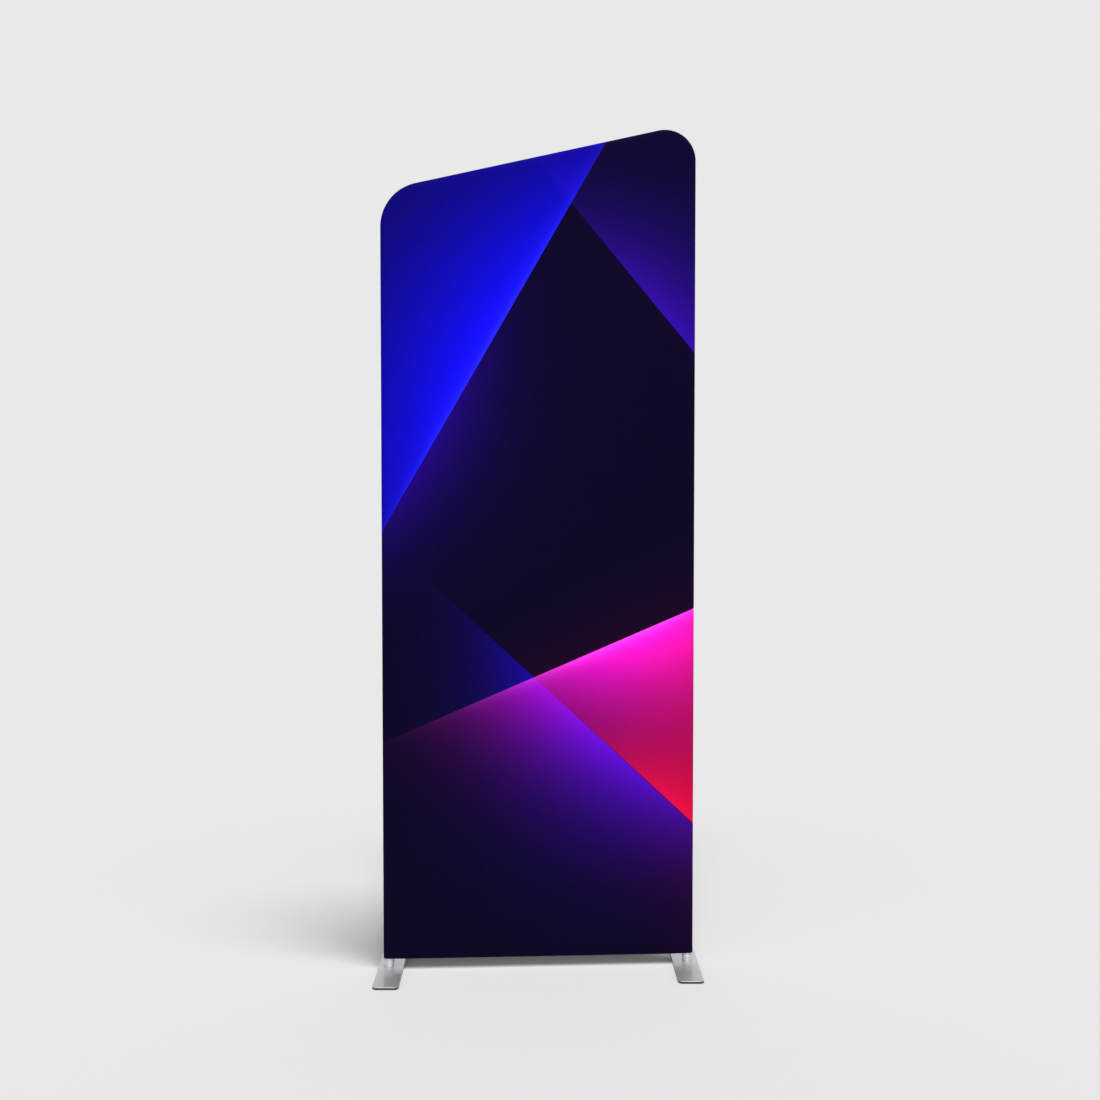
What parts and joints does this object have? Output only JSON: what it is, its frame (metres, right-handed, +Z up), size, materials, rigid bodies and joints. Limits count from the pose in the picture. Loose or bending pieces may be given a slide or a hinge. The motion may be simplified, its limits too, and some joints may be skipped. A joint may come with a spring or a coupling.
{
  "type": "tension fabric display stand",
  "caption": "Free-standing slant-top display of stretch cloth pulled over a round tube frame, with flat steel feet, snap-button tube joints and a zip along the lower back edge.",
  "frame": {"origin": "on the floor, midway between the two foot plates", "axes": "+Z up, +X to the right and -Y towards the viewer of the front, with the low corner of the slanted top at -X"},
  "size_m": [0.9634, 0.4024, 2.4497],
  "materials": {
    "stretch_cloth": "matte",
    "frame_tube": "satin",
    "joining_sleeve": "satin",
    "snap_button": "satin",
    "spring_strip": "satin",
    "rivet": "satin",
    "zip_tape": "matte",
    "zip_teeth": "satin",
    "zip_metal": "satin",
    "foot_plate": "satin",
    "foot_post": "polished",
    "foot_screw": "satin",
    "foot_pad": "matte"
  },
  "bodies": {
    "frame": {"bottom_tube": "frame_tube", "cover_back": "stretch_cloth", "cover_front": "stretch_cloth", "left_corner_tube": "frame_tube", "left_lower_upright": "frame_tube", "left_middle_spigot": "joining_sleeve", "left_middle_spring": "spring_strip", "left_tee_spigot": "joining_sleeve", "left_tee_spring": "spring_strip", "left_upper_spigot": "joining_sleeve", "left_upper_spring": "spring_strip", "left_upper_upright": "frame_tube", "right_corner_tube": "frame_tube", "right_lower_upright": "frame_tube", "right_middle_spigot": "joining_sleeve", "right_middle_spring": "spring_strip", "right_tee_spigot": "joining_sleeve", "right_tee_spring": "spring_strip", "right_upper_spigot": "joining_sleeve", "right_upper_spring": "spring_strip", "right_upper_upright": "frame_tube", "spigot_rivets": "rivet", "top_left_spigot": "joining_sleeve", "top_left_spring": "spring_strip", "top_right_spigot": "joining_sleeve", "top_right_spring": "spring_strip", "top_tube": "frame_tube", "zip_chain": "zip_teeth", "zip_stops": "zip_metal", "zip_tape_lower": "zip_tape", "zip_tape_upper": "zip_tape"},
    "left_middle_button": {"left_middle_button": "snap_button"},
    "right_middle_button": {"right_middle_button": "snap_button"},
    "left_upper_button": {"left_upper_button": "snap_button"},
    "right_upper_button": {"right_upper_button": "snap_button"},
    "top_left_button": {"top_left_button": "snap_button"},
    "top_right_button": {"top_right_button": "snap_button"},
    "left_tee_button": {"left_tee_button": "snap_button"},
    "right_tee_button": {"right_tee_button": "snap_button"},
    "left_post": {"left_foot_post": "foot_post", "left_foot_screw": "foot_screw"},
    "left_plate": {"left_foot_plate": "foot_plate", "left_foot_pads": "foot_pad"},
    "right_post": {"right_foot_post": "foot_post", "right_foot_screw": "foot_screw"},
    "right_plate": {"right_foot_plate": "foot_plate", "right_foot_pads": "foot_pad"},
    "zip_slider": {"zip_slider": "zip_metal"},
    "zip_pull": {"zip_pull": "zip_metal"}
  },
  "joints": [
    {"name": "left_post_slide", "type": "slide", "parent": "left_post", "child": "frame", "axis": [0, 0, 1], "range_m": [0, 0.115]},
    {"name": "left_plate_swivel", "type": "hinge", "parent": "left_post", "child": "left_plate", "pos_m": [-0.441, 0, 0.0045], "axis": [0, 0, 1], "range_deg": [-87, 93]},
    {"name": "right_post_slide", "type": "slide", "parent": "frame", "child": "right_post", "axis": [0, 0, -1], "range_m": [0, 0.115]},
    {"name": "right_plate_swivel", "type": "hinge", "parent": "right_post", "child": "right_plate", "pos_m": [0.441, 0, 0.0045], "axis": [0, 0, 1], "range_deg": [-87, 93]},
    {"name": "left_middle_button_press", "type": "slide", "parent": "frame", "child": "left_middle_button", "axis": [-1, 0, 0], "range_m": [0, 0.005], "stiffness_N_per_m": 1600, "springref_m": -0.002, "deforming": ["left_middle_spring"]},
    {"name": "right_middle_button_press", "type": "slide", "parent": "frame", "child": "right_middle_button", "axis": [1, 0, 0], "range_m": [0, 0.005], "stiffness_N_per_m": 1600, "springref_m": -0.002, "deforming": ["right_middle_spring"]},
    {"name": "left_upper_button_press", "type": "slide", "parent": "frame", "child": "left_upper_button", "axis": [-1, 0, 0], "range_m": [0, 0.005], "stiffness_N_per_m": 1600, "springref_m": -0.002, "deforming": ["left_upper_spring"]},
    {"name": "right_upper_button_press", "type": "slide", "parent": "frame", "child": "right_upper_button", "axis": [1, 0, 0], "range_m": [0, 0.005], "stiffness_N_per_m": 1600, "springref_m": -0.002, "deforming": ["right_upper_spring"]},
    {"name": "top_left_button_press", "type": "slide", "parent": "frame", "child": "top_left_button", "axis": [-0.2201, 0, 0.9755], "range_m": [0, 0.005], "stiffness_N_per_m": 1600, "springref_m": -0.002, "deforming": ["top_left_spring"]},
    {"name": "top_right_button_press", "type": "slide", "parent": "frame", "child": "top_right_button", "axis": [-0.2201, 0, 0.9755], "range_m": [0, 0.005], "stiffness_N_per_m": 1600, "springref_m": -0.002, "deforming": ["top_right_spring"]},
    {"name": "left_tee_button_press", "type": "slide", "parent": "frame", "child": "left_tee_button", "axis": [0, 0, -1], "range_m": [0, 0.005], "stiffness_N_per_m": 1600, "springref_m": -0.002, "deforming": ["left_tee_spring"]},
    {"name": "right_tee_button_press", "type": "slide", "parent": "frame", "child": "right_tee_button", "axis": [0, 0, -1], "range_m": [0, 0.005], "stiffness_N_per_m": 1600, "springref_m": -0.002, "deforming": ["right_tee_spring"]},
    {"name": "zip_slide", "type": "slide", "parent": "frame", "child": "zip_slider", "axis": [-1, 0, 0], "range_m": [0, 0.7774], "deforming": ["zip_chain"]},
    {"name": "zip_pull_flip", "type": "hinge", "parent": "zip_slider", "child": "zip_pull", "pos_m": [0.3887, 0.0197, 0.076], "axis": [0, 0, -1], "range_deg": [0, 180]}
  ]
}
